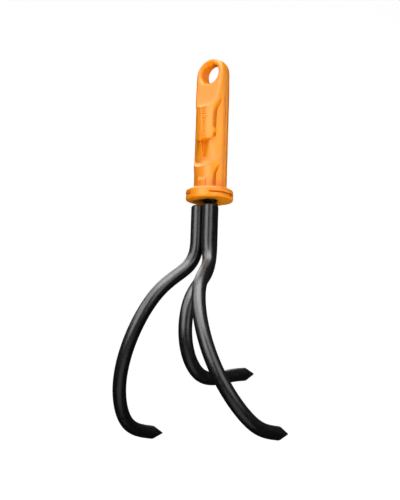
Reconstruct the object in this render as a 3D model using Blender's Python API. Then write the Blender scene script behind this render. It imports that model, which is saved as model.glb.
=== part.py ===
"""Three-tine hand cultivator.

A moulded grip sits on the tang of the centre tine. Two side tines are welded to the centre tine,
so that three round rods leave the grip as one straight bundle, then part into three hooks.

Frame: origin at the centre of the hanging hole, +Z up through the grip, +Y the way that the tine
points face, and the YZ plane is the mirror plane. Heights below are counted from the flange's
underside, where an empty that carries every piece stands. Sizes are in metres.
"""

import math

import bmesh
import bpy
import numpy as np
from mathutils import Matrix, Vector

MM = 0.001

# Grip: an oval bar with a flat-sided head that carries the hanging hole.
HANDLE_LENGTH = 110.5 * MM
GRIP_WIDTH = 26.8 * MM
GRIP_THICKNESS = 22.4 * MM
HEAD_THICKNESS = 10.4 * MM
HEAD_CROWN = 1.2 * MM
HEAD_LAND = 4.0 * MM
HANG_HOLE_DIAMETER = 15.0 * MM
HANG_HOLE_RIM = 1.5 * MM
HANG_HOLE_DROP = 12.4 * MM
SADDLE_LENGTH = 18.0 * MM

# Flange: two discs at the grip's lower end, with a slot between them on each side.
FLANGE_DIAMETER = 35.4 * MM
UPPER_DISC = 3.9 * MM
SLOT_HEIGHT = 1.3 * MM
LOWER_DISC = 2.8 * MM
DISC_CHAMFER = 1.2 * MM
SLOT_WEB = 15.8 * MM

# Rods: one bar size for the three tines.
ROD_DIAMETER = 10.0 * MM
ROD_END_CHAMFER = 1.0 * MM
TANG_LENGTH = 72.0 * MM
TANG_CLEARANCE = 0.3 * MM
TANG_MOUTH = 1.2 * MM
TANG_JOGGLE = 3.2 * MM
JOGGLE_LENGTH = 7.0 * MM
JOGGLE_OVERRUN = 0.5 * MM
BUNDLE_DROP = 4.6 * MM
BUNDLE_STRAIGHT = 33.4 * MM
SIDE_ROD_GAP = 0.4 * MM
WELD_GAP = 1.2 * MM

# Hooks. A route's control points are shares of the hook's spread (X), set-back (-Y) and drop (-Z),
# counted from the lower end of the straight bundle; the point then runs straight to its apex. The
# bend starts softly, over STRAIGHT_HOLD of the straight above it.
SIDE_SPREAD = 52.5 * MM
SIDE_SET_BACK = 39.8 * MM
SIDE_DROP = 132.6 * MM
SIDE_REACH = 30.6 * MM
SIDE_TIP_RUN = 24.2 * MM
SIDE_ROUTE = (
    (0.08, 0.03, 0.10),
    (0.228, 0.675, 0.218),
    (0.503, 1.0, 0.485),
    (0.797, 0.90, 0.765),
    (1.0, 0.35, 0.97),
)
CENTRE_EXTRA_STRAIGHT = 4.3 * MM
CENTRE_SET_BACK = 27.7 * MM
CENTRE_DROP = 93.6 * MM
CENTRE_REACH = 57.9 * MM
CENTRE_TIP_RUN = 28.3 * MM
CENTRE_TIP_LIFT = 12.0 * MM
CENTRE_TIP_TILT = math.radians(5.8)
CENTRE_ROUTE = (
    (0.0, 0.125, 0.149),
    (0.0, 0.718, 0.299),
    (0.0, 1.0, 0.506),
    (0.0, 0.935, 0.783),
    (0.0, 0.233, 1.0),
)
STRAIGHT_HOLD = 0.18
POINT_LENGTH = 12.0 * MM
POINT_FLAT_RADIUS = 0.5 * MM

# Welds: a fillet bead in each valley between a side tine and the centre tine.
WELD_LENGTH = 24.0 * MM
WELD_START = 2.5 * MM
WELD_LEG_ANGLE = math.radians(58)
WELD_CROWN = 0.6 * MM
WELD_ROOT_SHARE = 0.25
WELD_END_SWELL = 0.37
PART_GAP = 0.3 * MM

ROOT_NAME = "cultivator"
SHARP_ANGLE = math.radians(35)
FLAT_ANGLE = math.radians(0.05)

# Mesh fineness.
ROD_SIDES = 16
ROUTE_STATIONS = 46
JOGGLE_STEPS = 8
GRIP_SIDES = 40
SADDLE_STATIONS = 9
CROWN_STATIONS = 13
CROWN_LAST_ANGLE = math.radians(86)
CUTTER_SIDES = 32
CUTTER_OVERRUN = 3.0 * MM
WELD_STATIONS = 12
WELD_ARC_STEPS = 6
WELD_CROWN_STEPS = 4

ROD_RADIUS = ROD_DIAMETER / 2
FLANGE_RADIUS = FLANGE_DIAMETER / 2
FLANGE_HEIGHT = LOWER_DISC + SLOT_HEIGHT + UPPER_DISC
HOLE_RADIUS = HANG_HOLE_DIAMETER / 2
HOLE_HEIGHT = HANDLE_LENGTH - HANG_HOLE_DROP
HEAD_START = HOLE_HEIGHT - HOLE_RADIUS - HANG_HOLE_RIM - HEAD_LAND
SADDLE_START = HEAD_START - SADDLE_LENGTH
BUNDLE_TOP = -BUNDLE_DROP
BUNDLE_BOTTOM = BUNDLE_TOP - BUNDLE_STRAIGHT
SIDE_ROD_X = ROD_RADIUS + SIDE_ROD_GAP / 2
CENTRE_ROD_Y = TANG_JOGGLE
SIDE_ROD_Y = CENTRE_ROD_Y - math.sqrt((ROD_DIAMETER + WELD_GAP) ** 2 - SIDE_ROD_X ** 2)


def place_root():
    """The empty at the flange's underside, below the origin in the hanging hole."""
    root = bpy.data.objects.new(ROOT_NAME, None)
    root.location = (0, 0, -HOLE_HEIGHT)
    bpy.context.collection.objects.link(root)
    bpy.context.view_layer.update()


def clear_scene():
    """Remove every object that the scene holds."""
    for obj in list(bpy.data.objects):
        bpy.data.objects.remove(obj)


def make_material(name, colour, roughness):
    """A Principled material."""
    material = bpy.data.materials.new(name)
    material.use_nodes = True
    shader = material.node_tree.nodes["Principled BSDF"]
    shader.inputs["Base Color"].default_value = (*colour, 1.0)
    shader.inputs["Roughness"].default_value = roughness
    return material


def make_object(name, bm, material):
    """Turn a bmesh into a smooth-shaded object."""
    bmesh.ops.recalc_face_normals(bm, faces=bm.faces)
    mesh = bpy.data.meshes.new(name)
    bm.to_mesh(mesh)
    bm.free()
    mesh.shade_smooth()
    mesh.set_sharp_from_angle(angle=SHARP_ANGLE)
    obj = bpy.data.objects.new(name, mesh)
    obj.parent = bpy.data.objects[ROOT_NAME]
    bpy.context.collection.objects.link(obj)
    mesh.materials.append(material)
    return obj


def skin(bm, rings):
    """Bridge closed rings of points with quads, and cap both ends."""
    loops = [[bm.verts.new(point) for point in ring] for ring in rings]
    sides = len(loops[0])
    for lower, upper in zip(loops, loops[1:]):
        for i in range(sides):
            j = (i + 1) % sides
            bm.faces.new((lower[i], lower[j], upper[j], upper[i]))
    bm.faces.new(loops[0])
    bm.faces.new(loops[-1])


def smoothstep(value):
    """0 below 0, 1 above 1, and level at both ends."""
    value = min(max(value, 0.0), 1.0)
    return value * value * (3 - 2 * value)


def cut(target, cutter):
    """Subtract a hidden cutter from the target."""
    cutter.hide_render = True
    cutter.display_type = "WIRE"
    modifier = target.modifiers.new("cut_" + cutter.name, "BOOLEAN")
    modifier.operation = "DIFFERENCE"
    modifier.solver = "EXACT"
    modifier.object = cutter


# ---- rods -------------------------------------------------------------------------------------

def spline_route(control_points, count):
    """Points along a clamped uniform cubic B-spline."""
    control = np.array(control_points)
    inner = np.linspace(0, 1, len(control) - 2)
    knots = np.concatenate([[0.0] * 3, inner, [1.0] * 3])
    route = []
    for u in np.linspace(0, 1, count):
        span = min(int(np.searchsorted(knots, u, side="right")) - 1, len(control) - 1)
        points = [control[span - 3 + i] for i in range(4)]
        for level in range(1, 4):
            for i in range(3, level - 1, -1):
                start = knots[span - 3 + i]
                end = knots[span + 1 + i - level]
                share = (u - start) / (end - start)
                points[i] = (1 - share) * points[i - 1] + share * points[i]
        route.append(Vector(points[3]))
    return route


def hook_route(top, straight_end, shape, spread, set_back, drop, apex, tip_direction, tip_run):
    """A straight run down from top, the hook's curve, and a straight point that ends at apex."""
    step = (top.z - straight_end.z) * STRAIGHT_HOLD
    control = [straight_end + Vector((0, 0, step * k)) for k in (2, 1, 0)]
    for across, back, down in shape:
        control.append(straight_end + Vector((spread * across, -set_back * back, -drop * down)))
    control += [apex - tip_direction * (tip_run * share) for share in (1.0, 0.5, 0.0)]
    return [top] + spline_route(control, ROUTE_STATIONS)


def carried_frames(route, first_normal):
    """Each station's tangent, normal and binormal, with the normal carried along without twist."""
    frames = []
    normal = first_normal
    for i, point in enumerate(route):
        ahead = route[min(i + 1, len(route) - 1)]
        behind = route[max(i - 1, 0)]
        tangent = (ahead - behind).normalized()
        normal = (normal - tangent * normal.dot(tangent)).normalized()
        frames.append((tangent, normal, tangent.cross(normal)))
    return frames


def ring(centre, normal, binormal, radius):
    """One round section of a rod."""
    points = []
    for i in range(ROD_SIDES):
        angle = 2 * math.pi * i / ROD_SIDES
        points.append(centre + (normal * math.cos(angle) + binormal * math.sin(angle)) * radius)
    return points


def point_rings(route, frames):
    """Rings along a hooked route, ground to a cone over its last stretch."""
    left = [0.0]
    for ahead, here in zip(reversed(route[1:]), reversed(route[:-1])):
        left.append(left[-1] + (ahead - here).length)
    left.reverse()
    apex = route[-1]
    direction = frames[-1][0]
    rings = []
    for distance, centre, (_, normal, binormal) in zip(left, route, frames):
        if distance > POINT_LENGTH:
            rings.append(ring(centre, normal, binormal, ROD_RADIUS))
    _, normal, binormal = frames[-1]
    shoulder = apex - direction * POINT_LENGTH
    rings.append(ring(shoulder, normal, binormal, ROD_RADIUS))
    rings.append(ring(apex, normal, binormal, POINT_FLAT_RADIUS))
    return rings


def build_side_tine(name, side, material):
    """A side tine: a cut and chamfered top, the bundle's straight, then the hook."""
    top = Vector((side * SIDE_ROD_X, SIDE_ROD_Y, BUNDLE_TOP))
    straight_end = Vector((top.x, top.y, BUNDLE_BOTTOM))
    apex = straight_end + Vector((side * SIDE_SPREAD, SIDE_REACH, -SIDE_DROP))
    route = hook_route(top - Vector((0, 0, ROD_END_CHAMFER)), straight_end, SIDE_ROUTE,
                       side * SIDE_SPREAD, SIDE_SET_BACK, SIDE_DROP, apex, Vector((0, 1, 0)),
                       SIDE_TIP_RUN)
    frames = carried_frames(route, Vector((1, 0, 0)))
    end_ring = ring(top, frames[0][1], frames[0][2], ROD_RADIUS - ROD_END_CHAMFER)
    bm = bmesh.new()
    skin(bm, [end_ring] + point_rings(route, frames))
    return make_object(name, bm, material)


def build_centre_tine(material):
    """The centre tine: the tang in the grip, the joggle under the flange, then the hook."""
    top = Vector((0, CENTRE_ROD_Y, BUNDLE_TOP - JOGGLE_OVERRUN))
    straight_end = Vector((0, CENTRE_ROD_Y, BUNDLE_BOTTOM - CENTRE_EXTRA_STRAIGHT))
    tip_direction = Vector((0, math.cos(CENTRE_TIP_TILT), math.sin(CENTRE_TIP_TILT)))
    apex = straight_end + Vector((0, CENTRE_REACH, CENTRE_TIP_LIFT - CENTRE_DROP))
    route = hook_route(top, straight_end, CENTRE_ROUTE, 0.0, CENTRE_SET_BACK, CENTRE_DROP, apex,
                       tip_direction, CENTRE_TIP_RUN)
    frames = carried_frames(route, Vector((1, 0, 0)))
    across, forward = frames[0][1], frames[0][2]
    shoulder = TANG_LENGTH - ROD_END_CHAMFER
    rings = [ring(Vector((0, 0, TANG_LENGTH)), across, forward, ROD_RADIUS - ROD_END_CHAMFER),
             ring(Vector((0, 0, shoulder)), across, forward, ROD_RADIUS)]
    for i in range(JOGGLE_STEPS):
        share = i / JOGGLE_STEPS
        centre = Vector((0, CENTRE_ROD_Y * smoothstep(share), top.z + JOGGLE_LENGTH * (1 - share)))
        rings.append(ring(centre, across, forward, ROD_RADIUS))
    bm = bmesh.new()
    skin(bm, rings + point_rings(route, frames))
    return make_object("centre_tine", bm, material)


def build_weld(name, side, material):
    """A fillet bead in the valley between a side tine and the centre tine, on the +Y side."""
    side_rod = Vector((side * SIDE_ROD_X, SIDE_ROD_Y))
    centre_rod = Vector((0, CENTRE_ROD_Y))
    along = (centre_rod - side_rod).normalized()
    outward = Vector((along.y, -along.x)) * side
    reach = ROD_RADIUS + PART_GAP
    rings = []
    for k in range(WELD_STATIONS + 1):
        share = k / WELD_STATIONS
        swell = WELD_END_SWELL + (1 - WELD_END_SWELL) * math.sin(math.pi * share)
        leg = WELD_LEG_ANGLE * swell
        root = leg * WELD_ROOT_SHARE
        angles = [leg + (root - leg) * i / WELD_ARC_STEPS for i in range(WELD_ARC_STEPS + 1)]
        on_side = [side_rod + along * (reach * math.cos(a)) + outward * (reach * math.sin(a))
                   for a in angles]
        on_centre = [centre_rod - along * (reach * math.cos(a)) + outward * (reach * math.sin(a))
                     for a in reversed(angles)]
        crown = []
        for i in range(1, WELD_CROWN_STEPS):
            across = i / WELD_CROWN_STEPS
            place = on_centre[-1].lerp(on_side[0], across)
            crown.append(place + outward * (WELD_CROWN * swell * math.sin(math.pi * across)))
        z = BUNDLE_TOP - WELD_START - WELD_LENGTH * share
        rings.append([Vector((p.x, p.y, z)) for p in on_side + on_centre + crown])
    bm = bmesh.new()
    skin(bm, rings)
    return make_object(name, bm, material)


# ---- grip -------------------------------------------------------------------------------------

def grip_half_width(z):
    """Half the grip's width: straight sides, and a round crown."""
    crown = GRIP_WIDTH / 2
    above = z - (HANDLE_LENGTH - crown)
    if above <= 0:
        return crown
    return math.sqrt(max(crown ** 2 - above ** 2, 0.0))


def head_share(z):
    """0 along the grip, 1 on the head, and between them down the saddle."""
    return smoothstep((z - SADDLE_START) / SADDLE_LENGTH)


def grip_half_thickness(z):
    """Half the loft's thickness before its faces are levelled, rounded over at the crown."""
    crown = HEAD_THICKNESS / 2 + HEAD_CROWN
    full = GRIP_THICKNESS / 2 + (crown - GRIP_THICKNESS / 2) * head_share(z)
    above = z - (HANDLE_LENGTH - crown)
    if above <= 0:
        return full
    return math.sqrt(max(crown ** 2 - above ** 2, 0.0))


def grip_section(z):
    """One section: an ellipse along the grip, a squarer oval with level faces on the head."""
    half_width = grip_half_width(z)
    half_thickness = grip_half_thickness(z)
    level = GRIP_THICKNESS / 2 + (HEAD_THICKNESS - GRIP_THICKNESS) / 2 * head_share(z)
    power = 2.0 / (2.0 + head_share(z))
    points = []
    for i in range(GRIP_SIDES):
        angle = 2 * math.pi * i / GRIP_SIDES
        x = math.copysign(abs(math.cos(angle)) ** power, math.cos(angle)) * half_width
        y = math.copysign(abs(math.sin(angle)) ** power, math.sin(angle)) * half_thickness
        points.append(Vector((x, min(max(y, -level), level), z)))
    return points


def disc_profile(bottom, top):
    """Outer corners of a flange disc, from its lower face to its upper face."""
    inset = FLANGE_RADIUS - DISC_CHAMFER
    return [(inset, bottom), (FLANGE_RADIUS, bottom + DISC_CHAMFER),
            (FLANGE_RADIUS, top - DISC_CHAMFER), (inset, top)]


def build_handle(material):
    """The grip's loft stands on the flange; hole, slots and tang socket are cut from it."""
    step = 2 * math.pi / GRIP_SIDES
    rings = []
    for radius, z in disc_profile(0.0, FLANGE_HEIGHT):
        rings.append([Vector((radius * math.cos(step * i), radius * math.sin(step * i), z))
                      for i in range(GRIP_SIDES)])
    crown_centre = HANDLE_LENGTH - GRIP_WIDTH / 2
    heights = [FLANGE_HEIGHT, *np.linspace(SADDLE_START, HEAD_START, SADDLE_STATIONS)]
    for i in range(CROWN_STATIONS + 1):
        angle = CROWN_LAST_ANGLE * i / CROWN_STATIONS
        heights.append(crown_centre + GRIP_WIDTH / 2 * math.sin(angle))
    rings += [grip_section(float(z)) for z in heights]
    bm = bmesh.new()
    skin(bm, rings)
    bmesh.ops.dissolve_limit(bm, angle_limit=FLAT_ANGLE, verts=bm.verts, edges=bm.edges)
    handle = make_object("handle", bm, material)
    cut(handle, hang_hole_cutter())
    for side in (-1, 1):
        cut(handle, slot_cutter(side))
    cut(handle, tang_cutter())
    return handle


def turned_cutter(name, profile, matrix):
    """A closed turned solid about its own Z axis, from (radius, height) corners."""
    step = 2 * math.pi / CUTTER_SIDES
    bm = bmesh.new()
    skin(bm, [[matrix @ Vector((radius * math.cos(step * i), radius * math.sin(step * i), height))
               for i in range(CUTTER_SIDES)] for radius, height in profile])
    return make_object(name, bm, None)


def hang_hole_cutter():
    """The hanging hole along Y, with a chamfered rim on both faces."""
    face = HEAD_THICKNESS / 2
    flare = HOLE_RADIUS + HANG_HOLE_RIM
    outer = flare + CUTTER_OVERRUN
    past = face + CUTTER_OVERRUN
    profile = [(outer, -past), (flare, -face), (HOLE_RADIUS, HANG_HOLE_RIM - face),
               (HOLE_RADIUS, face - HANG_HOLE_RIM), (flare, face), (outer, past)]
    turn = Matrix.Translation((0, 0, HOLE_HEIGHT)) @ Matrix.Rotation(math.radians(90), 4, "X")
    return turned_cutter("hang_hole_cutter", profile, turn)


def slot_cutter(side):
    """A slot between the two discs, cut in from one side as far as the web."""
    inner = SLOT_WEB / 2
    outer = FLANGE_RADIUS + CUTTER_OVERRUN
    low = LOWER_DISC
    high = LOWER_DISC + SLOT_HEIGHT
    corners = [(inner, -outer), (outer, -outer), (outer, outer), (inner, outer)]
    bm = bmesh.new()
    skin(bm, [[Vector((side * x, y, z)) for x, y in corners] for z in (low, high)])
    return make_object("slot_cutter_" + ("right" if side > 0 else "left"), bm, None)


def tang_cutter():
    """The blind socket for the tang, with a wider mouth in the flange's underside."""
    radius = ROD_RADIUS + TANG_CLEARANCE
    mouth = radius + TANG_MOUTH
    end = TANG_LENGTH + TANG_CLEARANCE
    profile = [(mouth, -TANG_MOUTH), (mouth, TANG_MOUTH), (radius, TANG_MOUTH * 2),
               (radius, end - ROD_END_CHAMFER), (radius - ROD_END_CHAMFER, end)]
    return turned_cutter("tang_cutter", profile, Matrix.Identity(4))


def main():
    """Build the whole tool."""
    clear_scene()
    place_root()
    plastic = make_material("orange_plastic", (0.90, 0.33, 0.03), 0.42)
    steel = make_material("black_paint", (0.016, 0.016, 0.018), 0.30)
    weld = make_material("painted_weld", (0.018, 0.018, 0.020), 0.38)
    build_handle(plastic)
    build_centre_tine(steel)
    build_side_tine("left_tine", -1, steel)
    build_side_tine("right_tine", 1, steel)
    build_weld("left_weld", -1, weld)
    build_weld("right_weld", 1, weld)


main()
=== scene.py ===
"""Looks of the three-tine hand cultivator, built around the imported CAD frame.

The grip is one smooth closed surface drawn from a signed field: an oval bar with a flat head and
its hole, a raised centre band over a thumb scoop, recesses beside the band, and a slotted double
flange. The tines are fine sweeps along the CAD routes, joined by rippled weld beads. Sizes of the
object are in millimetres, with z counted from the flange's underside. The front is the -Y side.
"""

import math

import bmesh
import bpy
import numpy as np
from mathutils import Matrix, Vector


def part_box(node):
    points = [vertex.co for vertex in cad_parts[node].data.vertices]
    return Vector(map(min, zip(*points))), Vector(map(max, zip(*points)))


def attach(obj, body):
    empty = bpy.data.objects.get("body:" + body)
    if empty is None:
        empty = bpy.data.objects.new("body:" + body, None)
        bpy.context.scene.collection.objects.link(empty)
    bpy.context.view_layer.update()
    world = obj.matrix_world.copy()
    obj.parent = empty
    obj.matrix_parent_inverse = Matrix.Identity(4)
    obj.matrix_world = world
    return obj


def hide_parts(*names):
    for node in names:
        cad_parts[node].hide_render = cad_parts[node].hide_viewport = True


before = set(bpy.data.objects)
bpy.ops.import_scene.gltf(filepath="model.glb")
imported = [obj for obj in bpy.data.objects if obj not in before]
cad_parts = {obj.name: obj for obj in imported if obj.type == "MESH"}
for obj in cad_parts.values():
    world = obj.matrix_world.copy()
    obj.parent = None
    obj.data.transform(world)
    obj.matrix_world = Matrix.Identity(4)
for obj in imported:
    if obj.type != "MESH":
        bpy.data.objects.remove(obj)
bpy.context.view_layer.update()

MM = 0.001
BODY = "root"

# Camera, in metres. Its azimuth is from -Y towards +X.
VIEW_AZIMUTH = math.radians(38.51)
VIEW_ELEVATION = math.radians(-10.51)
VIEW_ROLL = math.radians(1.84)
VIEW_DISTANCE = 0.8644
VIEW_TARGET = Vector((-0.00454, -0.00361, -0.1356))
LENS_MM = 84.07
SENSOR_WIDTH_MM = 36.0
VIEW_CLIP_END = 50.0

# Grip.
GRIP_HALF_WIDTH = 13.4
GRIP_HALF_DEPTH = 11.2
HANDLE_TOP = 110.5
HEAD_HALF_DEPTH = 5.2
HEAD_EDGE_ROUND = 2.6
BORE_RADIUS = 7.8
BORE_HEIGHT = 98.1
BORE_FRONT_ROUND = 3.8
BORE_BACK_ROUND = 1.5
SADDLE_FOOT = 71.0
SADDLE_BEND = 0.374
SADDLE_BLEND = 5.0
SADDLE_EDGE_ROUND = 0.7

# Roundings of the grip's moulded edges.
WALL_ROUND = 0.45
BACK_WALL_ROUND = 1.6
BACK_ROUND_FROM = 3.0
FLOOR_ROUND = 0.6
RECESS_ROUND = 0.5
CRISP_ROUND = 0.25
GROOVE_CORNER_ROUND = 0.4
GROOVE_END_ROUND = 0.8
GROOVE_RIM_ROUND = 0.5

# Band, lower panel, recesses and scoop. Where a pair is given, it is front and back.
BAND_HALF_WIDTH = 8.1
BAND_SPREAD_START = 67.8
BAND_SPREAD_SLOPE = 0.41
SPREAD_BEND = 1.5
BAND_BOTTOM = 44.9
BAND_BOTTOM_RISE = 1.7
BAND_BOTTOM_POWER = 4
BUMP_HEIGHT = 51.9
BUMP_HALF_LENGTH = 2.6
BUMP_REACH = 1.3
BACK_FULL_FROM = 8.0
PANEL_HALF_WIDTH = 8.75
PANEL_SPREAD_START = 20.0
PANEL_SPREAD_SLOPE = 0.56
FLOOR_ANGLE = math.radians(31.2)
FLOOR_DISTANCE = 9.8
SCOOP_DEEPEST = 33.0
SCOOP_HALF_DEPTH = 7.5
SCOOP_ROOF_RADIUS = 30.0
SCOOP_ROOF_TIGHTEN = -10.0
SCOOP_TIGHTEN_WIDTH = 6.0
SCOOP_SIDE_ROUND = 2.0
SCOOP_RAMP_RADIUS = 8.5
SCOOP_RAMP_LENGTH = 7.0
SCOOP_CENTRE = 38.0
SCOOP_HALF_WIDTH = (12.8, 8.4)
SCOOP_BELOW = 13.7
SCOOP_SQUARENESS = 2.6
TRENCH_HALF_WIDTH = 0.45
TRENCH_DEPTH = 1.7
TRENCH_FADE = 1.0
TRENCH_END = 2.0
TRENCH_END_SLOPE = 2.0

# Groove in the scoop's roof, block above the flange, side seams and band ticks.
GROOVE_LEFT = -2.2
GROOVE_FLOOR = 6.1
GROOVE_SLOPE = 0.35
GROOVE_LENGTH = (32.0, 45.5)
BLOCK_HALF_WIDTH = 3.5
BLOCK_CENTRE = 0.65
BLOCK_TOP = 15.7
BLOCK_RISE = 0.9
BLOCK_CHAMFER = 2.2
BLOCK_TOP_STEEPNESS = 0.4
SEAM_DEPTH = 0.5
SEAM_HALF_WIDTH = 0.75
SEAM_TOP = 86.0
SEAM_FADE = 1.5
TICK_COUNT = 14
TICK_PITCH = 1.72
TICK_START = 47.2
TICK_CENTRE = 0.8
TICK_HALF_WIDTH = 1.8
TICK_HALF_HEIGHT = 0.32
TICK_DEPTH = 0.42
TICK_FADE = 0.4
TICK_FIELD_DEPTH = 3.0

# Flange.
FLANGE_RADIUS = 17.7
FLANGE_HEIGHT = 8.0
SLOT_LOW = 2.8
SLOT_HIGH = 4.1
SLOT_WEB_HALF = 7.9
SLOT_INNER_RADIUS = 15.6
SLOT_TURN = math.radians(9)
UPPER_EDGE_ROUND = 2.2
LOWER_EDGE_ROUND = 0.8
SLOT_ROUND = 0.3
NECK_ROUND = 0.8
SOCKET_RADIUS = 5.3
SOCKET_DEPTH = 72.3
SOCKET_END_ROUND = 0.8
MOUTH_RADIUS = 6.6
MOUTH_DEPTH = 3.0
MOUTH_STEP_ROUND = 0.3
MOUTH_RIM_ROUND = 0.5

# Rods, with the CAD's routes. A route's control points are shares of the hook's spread, set-back
# and drop, counted from the lower end of the straight bundle.
ROD_RADIUS = 5.0
ROD_END_CHAMFER = 1.0
TANG_LENGTH = 72.0
TANG_JOGGLE = 3.2
JOGGLE_LENGTH = 7.0
JOGGLE_OVERRUN = 0.5
BUNDLE_TOP = -4.6
BUNDLE_BOTTOM = -38.0
SIDE_ROD_X = 5.2
SIDE_ROD_Y = -6.72
SIDE_SPREAD = 52.5
SIDE_SET_BACK = 39.8
SIDE_DROP = 132.6
SIDE_REACH = 30.6
SIDE_TIP_RUN = 24.2
SIDE_ROUTE = (
    (0.08, 0.03, 0.10),
    (0.228, 0.675, 0.218),
    (0.503, 1.0, 0.485),
    (0.797, 0.90, 0.765),
    (1.0, 0.35, 0.97),
)
CENTRE_EXTRA_STRAIGHT = 4.3
CENTRE_SET_BACK = 27.7
CENTRE_DROP = 93.6
CENTRE_REACH = 57.9
CENTRE_TIP_RUN = 28.3
CENTRE_TIP_LIFT = 12.0
CENTRE_TIP_TILT = math.radians(5.8)
CENTRE_ROUTE = (
    (0.0, 0.125, 0.149),
    (0.0, 0.718, 0.299),
    (0.0, 1.0, 0.506),
    (0.0, 0.935, 0.783),
    (0.0, 0.233, 1.0),
)
STRAIGHT_HOLD = 0.18
POINT_LENGTH = 12.0
POINT_FLAT_RADIUS = 0.5
POINT_STEPS = 10
POINT_GRIND = 0.05
POINT_GRIND_WAVES = 4.5
ROD_SIDES = 56
ROUTE_STATIONS = 190
JOGGLE_STEPS = 20
EDGE_ANGLE = math.radians(28)

# Welds.
WELD_LENGTH = 24.0
WELD_START = 2.5
WELD_LEG_ANGLE = math.radians(58)
WELD_SINK = 0.05
WELD_CROWN = 0.8
WELD_ROOT_SHARE = 0.25
WELD_END_SWELL = 0.37
WELD_RIPPLE = 0.22
WELD_RIPPLE_PITCH = 1.5
WELD_STATIONS = 150
WELD_STEPS = 10

# Surface made from the grip's field: its box, its cell, and the limits on settling onto it.
FIELD_LOW = (-18.9, -18.9, -1.0)
FIELD_HIGH = (18.9, 18.9, 111.6)
CELL = 0.45
FIELD_STEP = 0.02
FIELD_SLOPE_FLOOR = 0.05
SETTLE_REACH = 0.3
SETTLE_ROUNDS = 2
EVEN_SHARE = 0.5
EVEN_ROUNDS = 2

# Finishes. A noise is its features per metre and its detail, and it mostly stays between NOISE_LOW
# and NOISE_HIGH. The relief's height is in metres.
NOISE_LOW = 0.3
NOISE_HIGH = 0.7
RELIEF_HEIGHT = 0.0001
PLASTIC_COLOURS = ((0.83, 0.247, 0.001), (0.88, 0.269, 0.002))
PLASTIC_COLOUR_NOISE = (60.0, 3.0)
PLASTIC_ROUGHNESS = (0.30, 0.38)
PLASTIC_ROUGHNESS_NOISE = (300.0, 2.0)
PLASTIC_SPECULAR = 0.29
PLASTIC_GRAIN_NOISE = (2600.0, 2.0)
PLASTIC_GRAIN_STRENGTH = 0.12
PAINT_COLOURS = ((0.004, 0.004, 0.004), (0.007, 0.007, 0.007))
PAINT_COLOUR_NOISE = (90.0, 3.0)
PAINT_ROUGHNESS = (0.26, 0.38)
PAINT_ROUGHNESS_NOISE = (420.0, 3.0)
PAINT_PEEL_NOISE = (900.0, 2.0)
PAINT_PEEL_STRENGTH = 0.03
PAPER_GREY = (0.45, 0.45, 0.45, 1)
PAPER_GLOW = 0.95

# Studio, in metres. The softboxes all aim at the tool's middle. Each one either shows in the sheen
# or lights the colour, and its azimuth is from -Y towards +X.
FLOOR_HEIGHT = -0.42
FLOOR_RADIUS = 1.6
COVE_RADIUS = 1.2
COVE_STEPS = 12
WALL_HEIGHT = 3.2
BOWL_SIDES = 96
BOWL_INNER_RADIUS = 0.4
WORLD_STRENGTH = 0.02
LIGHT_DISTANCE = 1.2
LIGHTS = (
    # name, azimuth and elevation in degrees, size, power in watts, shows in the sheen
    ("key", 0, 38, 0.4, 8.6, False),
    ("rim", 125, 15, 0.7, 9, False),
    ("back_fill", 218, 20, 1.0, 11, False),
    ("back_sheen", 235, 50, 1.0, 11, True),
    ("top", 10, 74, 0.5, 9.8, False),
    ("bounce", 40, -62, 1.2, 40, False),
    ("left_sheen", 2, 18, 0.9, 15, True),
    ("right_sheen", 74, 18, 0.9, 8.5, True),
    ("top_sheen", 38, 66, 1.15, 40, True),
    ("high_sheen", -42, 45, 0.9, 12, True),
    ("floor_sheen", 38, -50, 1.2, 2.8, True),
)


def soft_max(a, b, radius):
    """Intersection of two solids with a rounded edge."""
    inside = np.minimum(-radius, np.maximum(a, b))
    return inside + np.hypot(np.maximum(radius + a, 0), np.maximum(radius + b, 0))


def soft_min(a, b, radius):
    """Union of two solids with a filleted corner."""
    return -soft_max(-a, -b, radius)


def soft_ramp(value, slope, width):
    """0 below 0 and slope * value above it, with the bend spread over width."""
    return slope * 0.5 * (value + np.sqrt(value * value + width * width))


def oval_field(x, y, z):
    """The grip's oval bar, closed by a round crown."""
    crown_centre = HANDLE_TOP - GRIP_HALF_WIDTH
    out = np.hypot(x, np.maximum(z - crown_centre, 0))
    share = np.hypot(out / GRIP_HALF_WIDTH, y / GRIP_HALF_DEPTH) + 1e-9
    slope = np.hypot(out / GRIP_HALF_WIDTH ** 2, y / GRIP_HALF_DEPTH ** 2) + 1e-9
    return (share - 1) * share / slope


def head_field(y, z):
    """Everything below the saddle's curve, and the head's slab above it."""
    deep = np.maximum(GRIP_HALF_DEPTH - np.abs(y), 0)
    rise = z - SADDLE_FOOT - SADDLE_BEND * deep * deep
    below = rise / np.hypot(1.0, 2 * SADDLE_BEND * deep)
    return soft_min(below, np.abs(y) - HEAD_HALF_DEPTH, SADDLE_BLEND)


def scoop_border(x, y, z):
    """Distance inside the scoop's U-shaped border."""
    n = SCOOP_SQUARENESS
    half_width = np.where(y < 0, *SCOOP_HALF_WIDTH)
    across = np.abs(x) / half_width
    down = np.maximum(SCOOP_CENTRE - z, 0) / SCOOP_BELOW
    share = (across ** n + down ** n + 1e-9) ** (1 / n)
    slope = share ** (1 - n) * np.hypot(across ** (n - 1) / half_width,
                                        down ** (n - 1) / SCOOP_BELOW)
    return (1 - share) / (slope + 1e-6)


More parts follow.
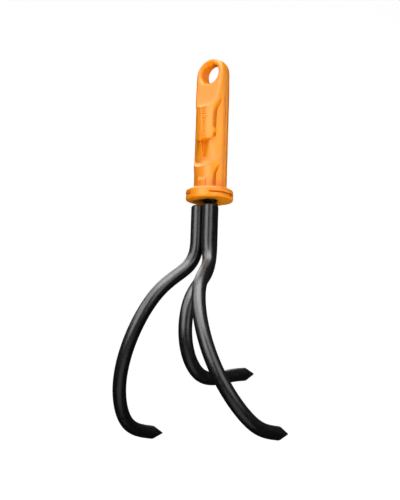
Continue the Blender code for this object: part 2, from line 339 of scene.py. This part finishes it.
def kept_field(x, y, z, oval):
    """What stays of the bar: the core between the recess floors, the band and the lower panel.

    The back has a narrower scoop, and its sides stay full.
    """
    across = np.abs(x)
    deep = np.abs(y)
    bump = BUMP_REACH * np.maximum(1 - np.abs(z - BUMP_HEIGHT) / BUMP_HALF_LENGTH, 0)
    band_width = (BAND_HALF_WIDTH + bump
                  + soft_ramp(z - BAND_SPREAD_START, BAND_SPREAD_SLOPE, SPREAD_BEND))
    panel_width = (PANEL_HALF_WIDTH
                   + soft_ramp(z - PANEL_SPREAD_START, PANEL_SPREAD_SLOPE, SPREAD_BEND))

    # Core: the sloped recess floors, with a trench along each wall, and the scoop's roof, which
    # is tighter towards its left.
    floor = across * math.sin(FLOOR_ANGLE) + deep * math.cos(FLOOR_ANGLE) - FLOOR_DISTANCE
    by_band = np.abs(across - band_width + bump - TRENCH_HALF_WIDTH)
    by_band = by_band + TRENCH_END_SLOPE * np.maximum(BAND_BOTTOM + TRENCH_END - z, 0)
    by_panel = np.abs(across - panel_width - TRENCH_HALF_WIDTH)
    by_panel = by_panel + TRENCH_END_SLOPE * np.maximum(z - SCOOP_CENTRE + SCOOP_BELOW
                                                        - TRENCH_END, 0)
    trench = np.clip(1 - np.minimum(by_band, by_panel) / TRENCH_HALF_WIDTH, 0, 1)
    floor = floor + TRENCH_DEPTH * trench * np.clip((floor - oval) / TRENCH_FADE, 0, 1)
    along = z - SCOOP_DEEPEST
    to_left = np.clip(0.5 + x * np.sign(y) / SCOOP_TIGHTEN_WIDTH, 0, 1)
    radius = SCOOP_ROOF_RADIUS + SCOOP_ROOF_TIGHTEN * to_left
    roof = radius - np.hypot(deep - SCOOP_HALF_DEPTH - radius, along)
    core = soft_max(floor, np.where(along > 0, roof, deep - SCOOP_HALF_DEPTH), SCOOP_SIDE_ROUND)

    # Band, with the full sides of the back.
    bottom = BAND_BOTTOM + BAND_BOTTOM_RISE * (across / BAND_HALF_WIDTH) ** BAND_BOTTOM_POWER
    band = soft_max(across - band_width, bottom - z, np.where(y < 0, WALL_ROUND, BACK_WALL_ROUND))
    full_side = soft_max(BACK_FULL_FROM - across, -y,
                         np.where(y < BACK_ROUND_FROM, WALL_ROUND, BACK_WALL_ROUND))
    band = soft_min(band, full_side, FLOOR_ROUND)

    # Lower panel, which ends above in the scoop's ramp.
    into_ramp = np.clip(scoop_border(x, y, z), 0, SCOOP_RAMP_LENGTH)
    left = SCOOP_RAMP_LENGTH - into_ramp
    ramp = (np.sqrt(SCOOP_RAMP_RADIUS ** 2 - left * left)
            - math.sqrt(SCOOP_RAMP_RADIUS ** 2 - SCOOP_RAMP_LENGTH ** 2))
    panel = soft_max(oval + ramp, across - panel_width, WALL_ROUND)
    panel = soft_max(panel, z - SCOOP_CENTRE, WALL_ROUND)
    return soft_min(soft_min(core, band, RECESS_ROUND), panel, RECESS_ROUND)


def flange_field(x, y, z):
    """Two discs with a slot between them that opens on both sides of a web."""
    out = np.hypot(x, y) - FLANGE_RADIUS
    disc = soft_max(out, z - FLANGE_HEIGHT, UPPER_EDGE_ROUND)
    disc = soft_max(disc, -z, LOWER_EDGE_ROUND)
    turned = np.abs(x * math.cos(SLOT_TURN) + y * math.sin(SLOT_TURN))
    slot = soft_max(np.abs(z - (SLOT_LOW + SLOT_HIGH) / 2) - (SLOT_HIGH - SLOT_LOW) / 2,
                    SLOT_WEB_HALF - turned, SLOT_ROUND)
    slot = soft_max(slot, SLOT_INNER_RADIUS - np.hypot(x, y), SLOT_ROUND)
    return soft_max(disc, -slot, SLOT_ROUND)


def groove_field(x, y, z):
    """A groove in the front of the scoop: a wall at its left, and a floor that rises rightwards."""
    floor = GROOVE_FLOOR + GROOVE_SLOPE * np.maximum(x - GROOVE_LEFT, 0)
    groove = soft_max(GROOVE_LEFT - x, floor + y, GROOVE_CORNER_ROUND)
    reach = np.maximum(GROOVE_LENGTH[0] - z, z - GROOVE_LENGTH[1])
    return soft_max(groove, reach, GROOVE_END_ROUND)


def block_field(x, y, z, oval):
    """A low raised block above the flange, with a chamfered top."""
    block = np.abs(x - BLOCK_CENTRE * -np.sign(y)) - BLOCK_HALF_WIDTH
    top = (z - BLOCK_TOP + (oval / BLOCK_RISE) * BLOCK_CHAMFER) * BLOCK_TOP_STEEPNESS
    block = soft_max(soft_max(block, oval - BLOCK_RISE, CRISP_ROUND), top, CRISP_ROUND)
    return np.maximum(block, np.abs(x) - BAND_HALF_WIDTH)


def socket_field(x, y, z):
    """The blind socket for the tang, and its wider mouth."""
    out = np.hypot(x, y)
    socket = soft_max(out - SOCKET_RADIUS, z - SOCKET_DEPTH, SOCKET_END_ROUND)
    mouth = soft_max(out - MOUTH_RADIUS, z - MOUTH_DEPTH, SOCKET_END_ROUND)
    return soft_min(socket, mouth, MOUTH_STEP_ROUND)


def tick_share(x, z):
    """1 inside a tick of the column on the band, and 0 outside."""
    row = (z - TICK_START) / TICK_PITCH
    nearest = np.clip(np.round(row), 0, TICK_COUNT - 1)
    tick = np.maximum(np.abs(row - nearest) * TICK_PITCH - TICK_HALF_HEIGHT,
                      np.abs(x - TICK_CENTRE) - TICK_HALF_WIDTH)
    return np.clip(0.5 - tick / TICK_FADE, 0, 1)


def handle_field(points):
    """Signed field of the whole grip: negative inside, in millimetres."""
    x, y, z = points.T
    oval = oval_field(x, y, z)
    kept = kept_field(x, y, z, oval)
    edge = np.clip((z - SADDLE_FOOT) / (BORE_HEIGHT - BORE_RADIUS - SADDLE_FOOT), 0, 1)
    rounding = SADDLE_EDGE_ROUND + (HEAD_EDGE_ROUND - SADDLE_EDGE_ROUND) * edge
    grip = soft_max(oval, head_field(y, z), rounding)
    grip = soft_max(grip, kept, WALL_ROUND)
    grip = soft_max(grip, -groove_field(x, y, z), GROOVE_RIM_ROUND)

    seam = SEAM_DEPTH * np.clip(1 - np.abs(y) / SEAM_HALF_WIDTH, 0, 1)
    grip = grip + seam * np.clip((SEAM_TOP - z) / SEAM_FADE, 0, 1)
    grip = soft_min(grip, block_field(x, y, z, oval), CRISP_ROUND)

    rim = np.where(y < 0, BORE_FRONT_ROUND, BORE_BACK_ROUND)
    grip = soft_max(grip, BORE_RADIUS - np.hypot(x, z - BORE_HEIGHT), rim)
    grip = np.maximum(grip, FLANGE_HEIGHT / 2 - z)
    body = soft_min(grip, flange_field(x, y, z), NECK_ROUND)
    body = soft_max(body, -socket_field(x, y, z), MOUTH_RIM_ROUND)
    return body + np.where(body > -TICK_FIELD_DEPTH, TICK_DEPTH * tick_share(x, z), 0)


def field_gradient(field, points):
    """Gradient of a field by central differences."""
    gradient = np.empty_like(points)
    for axis in range(3):
        shift = np.zeros(3)
        shift[axis] = FIELD_STEP
        gradient[:, axis] = (field(points + shift) - field(points - shift)) / (2 * FIELD_STEP)
    return gradient


def settle(field, points, rounds):
    """Move points onto the field's surface."""
    for _ in range(rounds):
        gradient = field_gradient(field, points)
        length2 = np.maximum((gradient ** 2).sum(1), FIELD_SLOPE_FLOOR)
        step = gradient * (field(points) / length2)[:, None]
        size = np.linalg.norm(step, axis=1, keepdims=True) + 1e-12
        points = points - step * np.minimum(1, SETTLE_REACH / size)
    return points


def surface_of(field, low, high, cell):
    """Closed quad surface where the field is zero: one point per crossed cell."""
    counts = np.ceil((high - low) / cell).astype(int) + 1
    axes = [low[k] + cell * np.arange(counts[k]) for k in range(3)]
    grid = np.stack(np.meshgrid(*axes, indexing="ij"), -1).reshape(-1, 3)
    value = field(grid).reshape(counts)
    inside = value < 0

    total = np.zeros([n - 1 for n in counts] + [3])
    crossings = np.zeros([n - 1 for n in counts])
    corners = [(a, b, c) for a in (0, 1) for b in (0, 1) for c in (0, 1)]

    def corner(array, offset):
        return array[tuple(slice(o, n - 1 + o) for o, n in zip(offset, counts))]

    for first in corners:
        for axis in range(3):
            if first[axis]:
                continue
            second = tuple(1 if k == axis else first[k] for k in range(3))
            va, vb = corner(value, first), corner(value, second)
            crossed = (va < 0) != (vb < 0)
            share = np.where(crossed, va / np.where(crossed, va - vb, 1.0), 0.0)
            for k in range(3):
                place = share if k == axis else float(first[k])
                total[..., k] += np.where(crossed, place, 0.0)
            crossings += crossed
    used = crossings > 0
    index = np.full(used.shape, -1)
    index[used] = np.arange(used.sum())
    cells = np.argwhere(used)
    points = low + cell * (cells + total[used] / crossings[used][:, None])

    quads = []
    for axis in range(3):
        u, v = (axis + 1) % 3, (axis + 2) % 3
        here = [slice(1, -1)] * 3
        here[axis] = slice(0, counts[axis] - 1)
        ahead = list(here)
        ahead[axis] = slice(1, counts[axis])
        a, b = inside[tuple(here)], inside[tuple(ahead)]
        for leaving in (True, False):
            spots = np.argwhere((a & ~b) if leaving else (~a & b))
            spots[:, u] += 1
            spots[:, v] += 1
            ring = []
            for du, dv in ((0, 0), (-1, 0), (-1, -1), (0, -1)):
                cell_at = spots.copy()
                cell_at[:, u] += du
                cell_at[:, v] += dv
                ring.append(index[tuple(cell_at.T)])
            quad = np.stack(ring, -1)
            quads.append(quad if leaving else quad[:, ::-1])
    return points, np.concatenate(quads)


def even_out(points, quads, field, rounds):
    """Slide points along the surface to even the quads, and settle them again."""
    edges = np.concatenate([quads[:, [k, (k + 1) % 4]] for k in range(4)])
    for _ in range(rounds):
        total = np.zeros_like(points)
        count = np.zeros(len(points))
        for a, b in ((0, 1), (1, 0)):
            np.add.at(total, edges[:, a], points[edges[:, b]])
            np.add.at(count, edges[:, a], 1)
        points = points + EVEN_SHARE * (total / count[:, None] - points)
        points = settle(field, points, 1)
    return points


def field_object(name, field, low, high, cell, material, base):
    """A smooth mesh object of a field, moved up by base and turned from millimetres to metres."""
    points, quads = surface_of(field, np.array(low), np.array(high), cell)
    points = settle(field, points, SETTLE_ROUNDS)
    points = even_out(points, quads, field, EVEN_ROUNDS)
    points = settle(field, points, SETTLE_ROUNDS)
    normals = field_gradient(field, points)
    normals /= np.linalg.norm(normals, axis=1, keepdims=True)
    mesh = bpy.data.meshes.new(name)
    placed = points * MM
    placed[:, 2] += base
    mesh.from_pydata(placed.tolist(), [], quads.tolist())
    mesh.shade_smooth()
    mesh.normals_split_custom_set_from_vertices(normals.tolist())
    mesh.materials.append(material)
    obj = bpy.data.objects.new(name, mesh)
    bpy.context.scene.collection.objects.link(obj)
    return obj


# ---- rods -------------------------------------------------------------------------------------

def smoothstep(value):
    """0 below 0, 1 above 1, and level at both ends."""
    value = min(max(value, 0.0), 1.0)
    return value * value * (3 - 2 * value)


def spline_route(control_points, count):
    """Points along a clamped uniform cubic B-spline."""
    control = np.array(control_points)
    knots = np.concatenate([[0.0] * 3, np.linspace(0, 1, len(control) - 2), [1.0] * 3])
    route = []
    for u in np.linspace(0, 1, count):
        span = min(int(np.searchsorted(knots, u, side="right")) - 1, len(control) - 1)
        points = [control[span - 3 + i] for i in range(4)]
        for level in range(1, 4):
            for i in range(3, level - 1, -1):
                start = knots[span - 3 + i]
                share = (u - start) / (knots[span + 1 + i - level] - start)
                points[i] = (1 - share) * points[i - 1] + share * points[i]
        route.append(Vector(points[3]))
    return route


def hook_route(top, straight_end, shape, spread, set_back, drop, apex, tip_direction, tip_run):
    """A straight run down from top, the hook's curve, and a straight point that ends at apex."""
    step = (top.z - straight_end.z) * STRAIGHT_HOLD
    control = [straight_end + Vector((0, 0, step * k)) for k in (2, 1, 0)]
    for across, back, down in shape:
        control.append(straight_end + Vector((spread * across, -set_back * back, -drop * down)))
    control += [apex - tip_direction * (tip_run * share) for share in (1.0, 0.5, 0.0)]
    return [top] + spline_route(control, ROUTE_STATIONS)


def carried_frames(route, first_normal):
    """Each station's tangent, normal and binormal, with the normal carried along without twist."""
    frames = []
    normal = first_normal
    for i, point in enumerate(route):
        ahead = route[min(i + 1, len(route) - 1)]
        behind = route[max(i - 1, 0)]
        tangent = (ahead - behind).normalized()
        normal = (normal - tangent * normal.dot(tangent)).normalized()
        frames.append((tangent, normal, tangent.cross(normal)))
    return frames


def ring(centre, normal, binormal, radius):
    """One round section of a rod."""
    angles = [2 * math.pi * i / ROD_SIDES for i in range(ROD_SIDES)]
    return [centre + (normal * math.cos(a) + binormal * math.sin(a)) * radius for a in angles]


def point_rings(route, frames):
    """Rings along a hooked route, ground to a cone over its last stretch."""
    left = [0.0]
    for ahead, here in zip(reversed(route[1:]), reversed(route[:-1])):
        left.append(left[-1] + (ahead - here).length)
    left.reverse()
    rings = [ring(centre, normal, binormal, ROD_RADIUS)
             for distance, centre, (_, normal, binormal) in zip(left, route, frames)
             if distance > POINT_LENGTH]
    direction, normal, binormal = frames[-1]
    for i in range(POINT_STEPS + 1):
        share = i / POINT_STEPS
        radius = ROD_RADIUS + (POINT_FLAT_RADIUS - ROD_RADIUS) * share
        radius += (POINT_GRIND * math.sin(math.pi * share)
                   * math.cos(2 * POINT_GRIND_WAVES * math.pi * share))
        centre = route[-1] - direction * (POINT_LENGTH * (1 - share))
        rings.append(ring(centre, normal, binormal, radius))
    return rings


def skinned_object(name, rings, material, base):
    """A closed object over rings of points, moved up by base and turned to metres."""
    bm = bmesh.new()
    loops = [[bm.verts.new((p.x * MM, p.y * MM, p.z * MM + base)) for p in loop]
             for loop in rings]
    sides = len(loops[0])
    for lower, upper in zip(loops, loops[1:]):
        for i in range(sides):
            j = (i + 1) % sides
            bm.faces.new((lower[i], lower[j], upper[j], upper[i]))
    bm.faces.new(loops[0])
    bm.faces.new(loops[-1])
    bmesh.ops.recalc_face_normals(bm, faces=bm.faces)
    mesh = bpy.data.meshes.new(name)
    bm.to_mesh(mesh)
    bm.free()
    mesh.shade_smooth()
    mesh.set_sharp_from_angle(angle=EDGE_ANGLE)
    mesh.materials.append(material)
    obj = bpy.data.objects.new(name, mesh)
    bpy.context.scene.collection.objects.link(obj)
    return obj


def side_tine_rings(side):
    """A side tine: a cut and chamfered top, the bundle's straight, then the hook."""
    top = Vector((side * SIDE_ROD_X, SIDE_ROD_Y, BUNDLE_TOP))
    straight_end = Vector((top.x, top.y, BUNDLE_BOTTOM))
    apex = straight_end + Vector((side * SIDE_SPREAD, SIDE_REACH, -SIDE_DROP))
    route = hook_route(top - Vector((0, 0, ROD_END_CHAMFER)), straight_end, SIDE_ROUTE,
                       side * SIDE_SPREAD, SIDE_SET_BACK, SIDE_DROP, apex, Vector((0, 1, 0)),
                       SIDE_TIP_RUN)
    frames = carried_frames(route, Vector((1, 0, 0)))
    end_ring = ring(top, frames[0][1], frames[0][2], ROD_RADIUS - ROD_END_CHAMFER)
    return [end_ring] + point_rings(route, frames)


def centre_tine_rings():
    """The centre tine: the tang in the grip, the joggle under the flange, then the hook."""
    top = Vector((0, TANG_JOGGLE, BUNDLE_TOP - JOGGLE_OVERRUN))
    straight_end = Vector((0, TANG_JOGGLE, BUNDLE_BOTTOM - CENTRE_EXTRA_STRAIGHT))
    tip_direction = Vector((0, math.cos(CENTRE_TIP_TILT), math.sin(CENTRE_TIP_TILT)))
    apex = straight_end + Vector((0, CENTRE_REACH, CENTRE_TIP_LIFT - CENTRE_DROP))
    route = hook_route(top, straight_end, CENTRE_ROUTE, 0.0, CENTRE_SET_BACK, CENTRE_DROP, apex,
                       tip_direction, CENTRE_TIP_RUN)
    frames = carried_frames(route, Vector((1, 0, 0)))
    across, forward = frames[0][1], frames[0][2]
    rings = [ring(Vector((0, 0, TANG_LENGTH)), across, forward, ROD_RADIUS - ROD_END_CHAMFER),
             ring(Vector((0, 0, TANG_LENGTH - ROD_END_CHAMFER)), across, forward, ROD_RADIUS)]
    for i in range(JOGGLE_STEPS):
        share = i / JOGGLE_STEPS
        centre = Vector((0, TANG_JOGGLE * smoothstep(share), top.z + JOGGLE_LENGTH * (1 - share)))
        rings.append(ring(centre, across, forward, ROD_RADIUS))
    return rings + point_rings(route, frames)


def weld_rings(side):
    """A rippled fillet bead in the valley between a side tine and the centre tine."""
    side_rod = Vector((side * SIDE_ROD_X, SIDE_ROD_Y))
    centre_rod = Vector((0, TANG_JOGGLE))
    along = (centre_rod - side_rod).normalized()
    outward = Vector((along.y, -along.x)) * side
    reach = ROD_RADIUS - WELD_SINK
    rings = []
    for k in range(WELD_STATIONS + 1):
        share = k / WELD_STATIONS
        swell = WELD_END_SWELL + (1 - WELD_END_SWELL) * math.sin(math.pi * share) ** 0.5
        ripple = abs(math.sin(math.pi * WELD_LENGTH * share / WELD_RIPPLE_PITCH))
        leg = WELD_LEG_ANGLE * swell
        root = leg * WELD_ROOT_SHARE
        angles = [leg + (root - leg) * i / WELD_STEPS for i in range(WELD_STEPS + 1)]
        on_side = [side_rod + along * (reach * math.cos(a)) + outward * (reach * math.sin(a))
                   for a in angles]
        on_centre = [centre_rod - along * (reach * math.cos(a)) + outward * (reach * math.sin(a))
                     for a in reversed(angles)]
        crown = []
        for i in range(1, WELD_STEPS):
            across = i / WELD_STEPS
            rise = (WELD_CROWN * swell + WELD_RIPPLE * ripple) * math.sin(math.pi * across)
            crown.append(on_centre[-1].lerp(on_side[0], across) + outward * rise)
        z = BUNDLE_TOP - WELD_START - WELD_LENGTH * share
        rings.append([Vector((p.x, p.y, z)) for p in on_side + on_centre + crown])
    return rings


# ---- materials --------------------------------------------------------------------------------

def new_material(name):
    """An empty node material, with its tree and Principled shader."""
    material = bpy.data.materials.new(name)
    material.use_nodes = True
    tree = material.node_tree
    return material, tree, tree.nodes["Principled BSDF"]


def noise(tree, scale, detail):
    """Noise over object coordinates."""
    coords = tree.nodes.new("ShaderNodeTexCoord")
    texture = tree.nodes.new("ShaderNodeTexNoise")
    texture.inputs["Scale"].default_value = scale
    texture.inputs["Detail"].default_value = detail
    tree.links.new(coords.outputs["Object"], texture.inputs["Vector"])
    return texture.outputs["Fac"]


def spread(tree, source, low, high):
    """Map noise to a value between low and high."""
    node = tree.nodes.new("ShaderNodeMapRange")
    node.inputs["From Min"].default_value = NOISE_LOW
    node.inputs["From Max"].default_value = NOISE_HIGH
    node.inputs["To Min"].default_value = low
    node.inputs["To Max"].default_value = high
    tree.links.new(source, node.inputs["Value"])
    return node.outputs["Result"]


def colours(tree, source, low, high):
    """Mix two colours by noise."""
    node = tree.nodes.new("ShaderNodeValToRGB")
    node.color_ramp.elements[0].position = NOISE_LOW
    node.color_ramp.elements[0].color = (*low, 1)
    node.color_ramp.elements[1].position = NOISE_HIGH
    node.color_ramp.elements[1].color = (*high, 1)
    tree.links.new(source, node.inputs["Fac"])
    return node.outputs["Color"]


def relief(tree, shader, source, strength):
    """Drive the shader's normal from noise."""
    node = tree.nodes.new("ShaderNodeBump")
    node.inputs["Strength"].default_value = strength
    node.inputs["Distance"].default_value = RELIEF_HEIGHT
    tree.links.new(source, node.inputs["Height"])
    tree.links.new(node.outputs["Normal"], shader.inputs["Normal"])


def plastic_material():
    """Orange injection-moulded plastic: satin, with a fine spark-eroded texture."""
    material, tree, shader = new_material("moulded_orange_plastic")
    tree.links.new(colours(tree, noise(tree, *PLASTIC_COLOUR_NOISE), *PLASTIC_COLOURS),
                   shader.inputs["Base Color"])
    tree.links.new(spread(tree, noise(tree, *PLASTIC_ROUGHNESS_NOISE), *PLASTIC_ROUGHNESS),
                   shader.inputs["Roughness"])
    shader.inputs["Specular IOR Level"].default_value = PLASTIC_SPECULAR
    relief(tree, shader, noise(tree, *PLASTIC_GRAIN_NOISE), PLASTIC_GRAIN_STRENGTH)
    return material


def paint_material():
    """Black semi-gloss paint on steel bar, with slight orange peel."""
    material, tree, shader = new_material("black_paint")
    tree.links.new(colours(tree, noise(tree, *PAINT_COLOUR_NOISE), *PAINT_COLOURS),
                   shader.inputs["Base Color"])
    tree.links.new(spread(tree, noise(tree, *PAINT_ROUGHNESS_NOISE), *PAINT_ROUGHNESS),
                   shader.inputs["Roughness"])
    relief(tree, shader, noise(tree, *PAINT_PEEL_NOISE), PAINT_PEEL_STRENGTH)
    return material


def backdrop_material():
    """Plain white paper."""
    material, tree, shader = new_material("white_paper")
    shader.inputs["Base Color"].default_value = PAPER_GREY
    shader.inputs["Roughness"].default_value = 1.0
    shader.inputs["Specular IOR Level"].default_value = 0.0
    shader.inputs["Emission Color"].default_value = (1, 1, 1, 1)
    shader.inputs["Emission Strength"].default_value = PAPER_GLOW
    return material


# ---- stage ------------------------------------------------------------------------------------

def place_camera():
    """The camera: below the tool's middle, looking slightly up."""
    back = Vector((math.sin(VIEW_AZIMUTH) * math.cos(VIEW_ELEVATION),
                   -math.cos(VIEW_AZIMUTH) * math.cos(VIEW_ELEVATION), math.sin(VIEW_ELEVATION)))
    right = Vector((math.cos(VIEW_AZIMUTH), math.sin(VIEW_AZIMUTH), 0))
    up = back.cross(right)
    turned_right = right * math.cos(VIEW_ROLL) + up * math.sin(VIEW_ROLL)
    turned_up = up * math.cos(VIEW_ROLL) - right * math.sin(VIEW_ROLL)
    data = bpy.data.cameras.new("camera")
    data.lens = LENS_MM
    data.sensor_width = SENSOR_WIDTH_MM
    data.clip_end = VIEW_CLIP_END
    camera = bpy.data.objects.new("camera", data)
    turn = Matrix((turned_right, turned_up, back)).transposed()
    camera.matrix_world = Matrix.Translation(VIEW_TARGET + back * VIEW_DISTANCE) @ turn.to_4x4()
    bpy.context.scene.collection.objects.link(camera)
    bpy.context.scene.camera = camera


def soft_light(name, azimuth, elevation, size, power, mirrored):
    """One softbox, from a row of the table."""
    a, e = math.radians(azimuth), math.radians(elevation)
    away = Vector((math.sin(a) * math.cos(e), -math.cos(a) * math.cos(e), math.sin(e)))
    data = bpy.data.lights.new(name, "AREA")
    data.size = size
    data.energy = power
    light = bpy.data.objects.new(name, data)
    light.location = VIEW_TARGET + away * LIGHT_DISTANCE
    light.rotation_euler = away.to_track_quat("Z", "Y").to_euler()
    light.visible_camera = False
    light.visible_glossy = mirrored
    light.visible_diffuse = not mirrored
    bpy.context.scene.collection.objects.link(light)


def studio_bowl():
    """A pale floor that curves up into a wall on all sides."""
    sides = BOWL_SIDES
    profile = [(BOWL_INNER_RADIUS, 0.0), (FLOOR_RADIUS, 0.0)]
    for i in range(1, COVE_STEPS + 1):
        angle = math.pi / 2 * i / COVE_STEPS
        profile.append((FLOOR_RADIUS + COVE_RADIUS * math.sin(angle),
                        COVE_RADIUS * (1 - math.cos(angle))))
    profile.append((FLOOR_RADIUS + COVE_RADIUS, WALL_HEIGHT))
    bm = bmesh.new()
    centre = bm.verts.new((0, 0, 0))
    rings = [[bm.verts.new((r * math.cos(2 * math.pi * i / sides),
                            r * math.sin(2 * math.pi * i / sides), h)) for i in range(sides)]
             for r, h in profile]
    for i in range(sides):
        bm.faces.new((centre, rings[0][i], rings[0][(i + 1) % sides]))
        for lower, upper in zip(rings, rings[1:]):
            j = (i + 1) % sides
            bm.faces.new((lower[i], upper[i], upper[j], lower[j]))
    mesh = bpy.data.meshes.new("floor")
    bm.to_mesh(mesh)
    bm.free()
    mesh.shade_smooth()
    mesh.materials.append(backdrop_material())
    floor = bpy.data.objects.new("floor", mesh)
    floor.location = (0, 0, FLOOR_HEIGHT)
    floor.visible_glossy = False
    floor.visible_diffuse = False
    bpy.context.scene.collection.objects.link(floor)


def main():
    """Build the looks."""
    place_camera()
    studio_bowl()
    for row in LIGHTS:
        soft_light(*row)
    world = bpy.data.worlds.new("studio")
    world.use_nodes = True
    background = world.node_tree.nodes["Background"]
    background.inputs["Color"].default_value = (1, 1, 1, 1)
    background.inputs["Strength"].default_value = WORLD_STRENGTH
    bpy.context.scene.world = world
    bpy.context.scene.view_settings.view_transform = "Standard"

    plastic = plastic_material()
    paint = paint_material()
    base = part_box("handle")[0].z
    looks = [
        (field_object("grip", handle_field, FIELD_LOW, FIELD_HIGH, CELL, plastic, base),
         "handle", "grip_plastic"),
        (skinned_object("centre_rod", centre_tine_rings(), paint, base),
         "centre_tine", "tine_paint"),
    ]
    for name, side in (("left", -1), ("right", 1)):
        rod = skinned_object(name + "_rod", side_tine_rings(side), paint, base)
        bead = skinned_object(name + "_bead", weld_rings(side), paint, base)
        looks += [(rod, name + "_tine", "tine_paint"), (bead, name + "_weld", "weld_paint")]
    for obj, node, slot in looks:
        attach(obj, BODY)
        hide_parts(node)


main()
